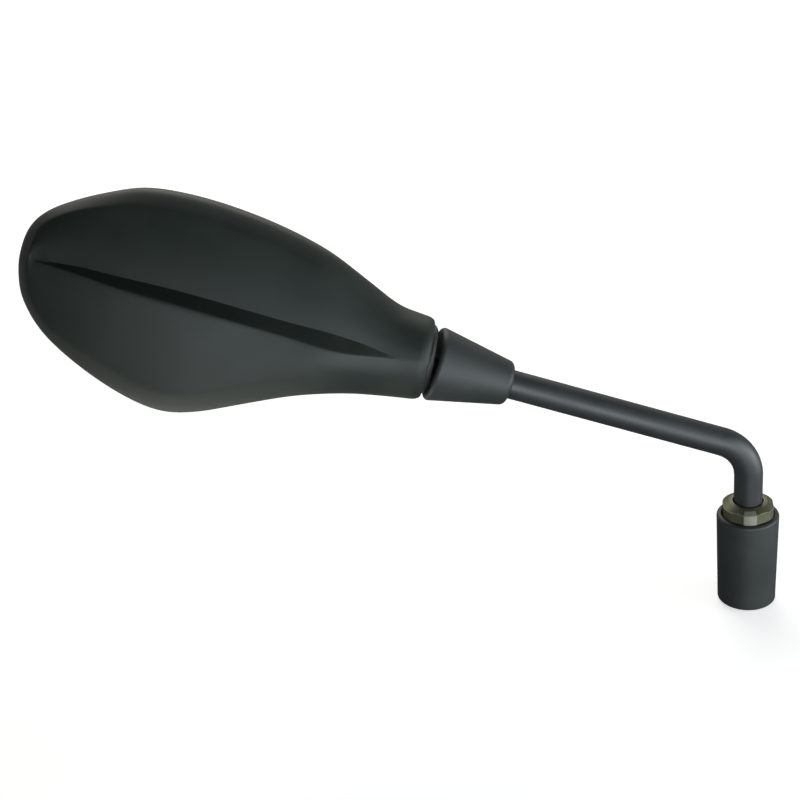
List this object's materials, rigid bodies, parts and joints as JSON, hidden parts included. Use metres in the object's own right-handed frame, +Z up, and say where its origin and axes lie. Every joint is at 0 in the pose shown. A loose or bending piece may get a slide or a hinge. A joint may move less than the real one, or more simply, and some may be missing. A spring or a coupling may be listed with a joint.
{
  "type": "motorcycle mirror",
  "caption": "Right-hand motorcycle mirror: bent rod arm with threaded stem, lock nut and nut cover, cone sleeve, friction ball joint and moulded black head with convex glass.",
  "frame": {"origin": "on the stem axis at the upper end of the free thread, under the lock nut", "axes": "+Z up the stem, the arm leans towards -X, the glass looks towards +Y"},
  "size_m": [0.3023, 0.0535, 0.2074],
  "materials": {
    "rod": "satin black paint",
    "ball": "polished",
    "spring_steel": "phosphated",
    "sleeve": "satin black",
    "nut": "olive passivated zinc, aged",
    "cover": "satin black",
    "seal": "matt",
    "liner": "natural nylon",
    "tube": "black",
    "seat": "plain",
    "housing": "fine grained black",
    "plate": "plain black",
    "foam": "closed-cell foam",
    "glass": "silvered behind"
  },
  "bodies": {
    "base": {"arm_rod": "rod", "pivot_ball": "ball", "ball_circlip": "spring_steel", "cone_sleeve": "sleeve"},
    "nut": {"lock_nut": "nut"},
    "cover": {"nut_cover": "cover"},
    "ring": {"dust_ring": "seal"},
    "liner": {"ball_liner": "liner"},
    "head": {"socket_tube": "tube", "front_seat": "seat", "pressure_cup": "seat", "thrust_washer": "seat", "disc_springs": "spring_steel", "adjust_ring": "seat", "housing": "housing", "backing_plate": "plate", "foam_pad": "foam", "mirror_glass": "glass"}
  },
  "joints": [
    {"name": "nut_turn", "type": "hinge", "parent": "base", "child": "nut", "pos_m": [0, 0, 0.0072], "axis": [0, 0, 1], "continuous": true},
    {"name": "cover_slide", "type": "slide", "parent": "base", "child": "cover", "axis": [0, 0, 1], "range_m": [0, 0.028]},
    {"name": "head_roll", "type": "hinge", "parent": "base", "child": "ring", "pos_m": [-0.14629, 0, 0.0987], "axis": [-0.9259, 0, 0.3778], "continuous": true},
    {"name": "head_tilt", "type": "hinge", "parent": "ring", "child": "liner", "pos_m": [-0.14629, 0, 0.0987], "axis": [-0.1292, 0.9397, -0.3167], "range_deg": [-9, 18]},
    {"name": "head_swing", "type": "hinge", "parent": "liner", "child": "head", "pos_m": [-0.14629, 0, 0.0987], "axis": [0.3551, 0.342, 0.87], "range_deg": [-8, 19]}
  ]
}
